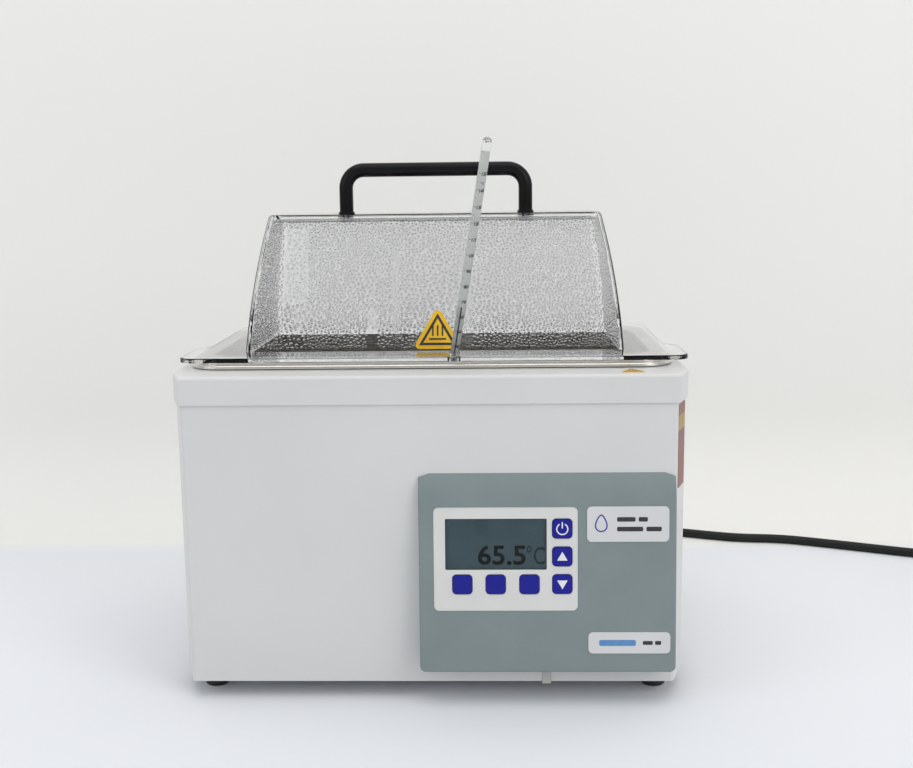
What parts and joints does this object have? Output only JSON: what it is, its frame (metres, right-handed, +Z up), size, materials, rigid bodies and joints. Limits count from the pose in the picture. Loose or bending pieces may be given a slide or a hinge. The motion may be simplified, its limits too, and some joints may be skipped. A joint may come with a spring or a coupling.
{
  "type": "water bath",
  "caption": "Small digital water bath with a stainless tank, a clear gabled lid with a bar handle, a glass thermometer through the lid and a tilted keypad pod.",
  "frame": {"origin": "on the bench, under the middle of the bath's outer box, mains lead left out", "axes": "+X right of someone facing the keypad, +Y towards the back, +Z up"},
  "size_m": [0.7317, 0.4022, 0.3715],
  "materials": {
    "white_paint": "fine powder coat, satin",
    "steel": "brushed stainless",
    "zinc": "bright zinc plate",
    "clear": "clear polycarbonate",
    "black_gloss": "gloss black coat",
    "rubber": "black rubber",
    "pod_grey": "moulded grey plastic, satin",
    "white_plastic": "white film over plastic",
    "blue_plastic": "moulded blue keycap",
    "display": "liquid crystal display glass",
    "board": "green circuit board",
    "dark_parts": "moulded black parts",
    "copper": "winding",
    "insulation": "glass-wool insulation",
    "silicone": "silicone rubber heater",
    "gasket": "dark silicone strip",
    "label_yellow": "printed film",
    "label_pink": "printed film",
    "badge": "white name plate",
    "clip": "light grey nylon",
    "cord": "black PVC",
    "brass": "bare brass",
    "aluminium": "plain aluminium",
    "stem_glass": "glass"
  },
  "bodies": {
    "bath": {"housing_wrap": "white_paint", "base_pan": "zinc", "back_panel": "white_paint", "top_cover": "white_paint", "rubber_feet": "rubber", "foot_screws": "zinc", "back_panel_screws": "zinc", "cover_screws": "zinc", "tank": "steel", "rim_gasket": "gasket", "tank_jacket": "insulation", "heater_mat": "silicone", "heater_clamp_plate": "aluminium", "bottom_insulation": "insulation", "heater_studs": "zinc", "heater_nuts": "zinc", "temperature_probe": "steel", "safety_cutout": "dark_parts", "control_pod": "pod_grey", "pod_screws": "zinc", "panel_clip": "clip", "keypad_bezel": "white_plastic", "display_window": "clear", "lcd_module": "display", "keypad_board": "board", "key_switches": "dark_parts", "upper_badge": "badge", "lower_badge": "badge", "control_board": "board", "board_parts": "dark_parts", "heater_switch": "aluminium", "board_standoffs": "brass", "transformer": "copper", "terminal_block": "white_plastic", "ribbon_cable": "clip", "internal_leads": "cord", "side_label": "label_pink", "cover_caution_label": "label_yellow", "strain_relief": "rubber", "power_cord": "cord", "cord_coil": "cord", "coil_tie": "rubber", "mains_plug": "rubber", "plug_pins": "brass"},
    "lid": {"lid_shell": "clear", "lid_handle": "black_gloss", "handle_washers": "steel", "handle_screws": "steel", "lid_caution_label": "label_yellow"},
    "thermometer": {"thermometer_stem": "stem_glass", "thermometer_bulb": "stem_glass"},
    "key_power": {"key_power": "blue_plastic"},
    "key_up": {"key_up": "blue_plastic"},
    "key_down": {"key_down": "blue_plastic"},
    "key_left": {"key_left": "blue_plastic"},
    "key_middle": {"key_middle": "blue_plastic"},
    "key_right": {"key_right": "blue_plastic"}
  },
  "joints": [
    {"name": "lid_lift", "type": "slide", "parent": "bath", "child": "lid", "axis": [0, 0, 1], "range_m": [0, 0.2]},
    {"name": "thermometer_lift", "type": "slide", "parent": "lid", "child": "thermometer", "axis": [0.1553, -0.3565, 0.9213], "range_m": [0, 0.15]},
    {"name": "key_power_press", "type": "slide", "parent": "bath", "child": "key_power", "axis": [0, 0.9972, -0.0748], "range_m": [0, 0.0006], "stiffness_N_per_m": 800, "springref_m": -0.0005},
    {"name": "key_up_press", "type": "slide", "parent": "bath", "child": "key_up", "axis": [0, 0.9972, -0.0748], "range_m": [0, 0.0006], "stiffness_N_per_m": 800, "springref_m": -0.0005},
    {"name": "key_down_press", "type": "slide", "parent": "bath", "child": "key_down", "axis": [0, 0.9972, -0.0748], "range_m": [0, 0.0006], "stiffness_N_per_m": 800, "springref_m": -0.0005},
    {"name": "key_left_press", "type": "slide", "parent": "bath", "child": "key_left", "axis": [0, 0.9972, -0.0748], "range_m": [0, 0.0006], "stiffness_N_per_m": 800, "springref_m": -0.0005},
    {"name": "key_middle_press", "type": "slide", "parent": "bath", "child": "key_middle", "axis": [0, 0.9972, -0.0748], "range_m": [0, 0.0006], "stiffness_N_per_m": 800, "springref_m": -0.0005},
    {"name": "key_right_press", "type": "slide", "parent": "bath", "child": "key_right", "axis": [0, 0.9972, -0.0748], "range_m": [0, 0.0006], "stiffness_N_per_m": 800, "springref_m": -0.0005}
  ]
}
